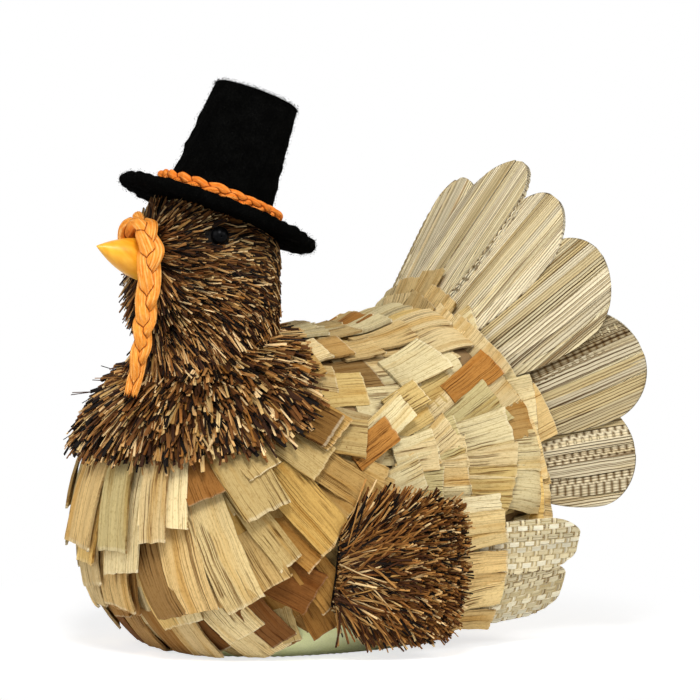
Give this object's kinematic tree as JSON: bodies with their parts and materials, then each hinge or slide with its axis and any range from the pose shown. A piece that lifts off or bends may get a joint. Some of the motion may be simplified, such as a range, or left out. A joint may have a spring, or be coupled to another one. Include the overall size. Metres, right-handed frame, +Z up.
{
  "type": "thanksgiving turkey figure",
  "caption": "Standing turkey decoration: foam body with husk shingles, brown straw head, collar and wings, fanned leaf tail, paper cord snood and black felt hat.",
  "frame": {"origin": "on the table under the middle of the figure's box, without the hanging snood cord", "axes": "+Z up, -Y where the bird faces, +X its left side"},
  "size_m": [0.1764, 0.233, 0.2441],
  "materials": {
    "foam": "pale green expanded foam",
    "dowel": "bare wood",
    "husk": "dry husk with lengthwise grain",
    "straw": "brown cut straw",
    "leaf": "laminated leaf strips, partly woven",
    "felt": "black fuzzy felt",
    "paper_cord": "twisted orange paper",
    "beak": "yellow gloss",
    "bead": "black gloss"
  },
  "bodies": {
    "root": {"beak": "beak", "body_core": "foam", "collar_straw": "straw", "hat_band": "paper_cord", "hat_block": "foam", "hat_brim": "felt", "hat_crown": "felt", "hat_top": "felt", "head_core": "foam", "head_straw": "straw", "husk_course_1": "husk", "husk_course_10": "husk", "husk_course_2": "husk", "husk_course_3": "husk", "husk_course_4": "husk", "husk_course_5_breast": "husk", "husk_course_5_rump": "husk", "husk_course_6_left": "husk", "husk_course_6_right": "husk", "husk_course_6_rump": "husk", "husk_course_7_left": "husk", "husk_course_7_right": "husk", "husk_course_7_rump": "husk", "husk_course_8": "husk", "husk_course_9": "husk", "left_eye": "bead", "left_wing_feather_lower": "leaf", "left_wing_feather_upper": "leaf", "left_wing_shingles": "husk", "left_wing_straw": "straw", "neck_dowel": "dowel", "right_eye": "bead", "right_wing_feather_lower": "leaf", "right_wing_feather_upper": "leaf", "right_wing_shingles": "husk", "right_wing_straw": "straw", "snood_rope": "paper_cord", "tail_coverts": "husk", "tail_feather_1": "leaf", "tail_feather_2": "leaf", "tail_feather_3": "leaf", "tail_feather_4": "leaf", "tail_feather_5": "leaf", "tail_feather_6": "leaf", "tail_feather_7": "leaf", "tail_feather_8": "leaf", "tail_feather_9": "leaf"}
  },
  "joints": []
}
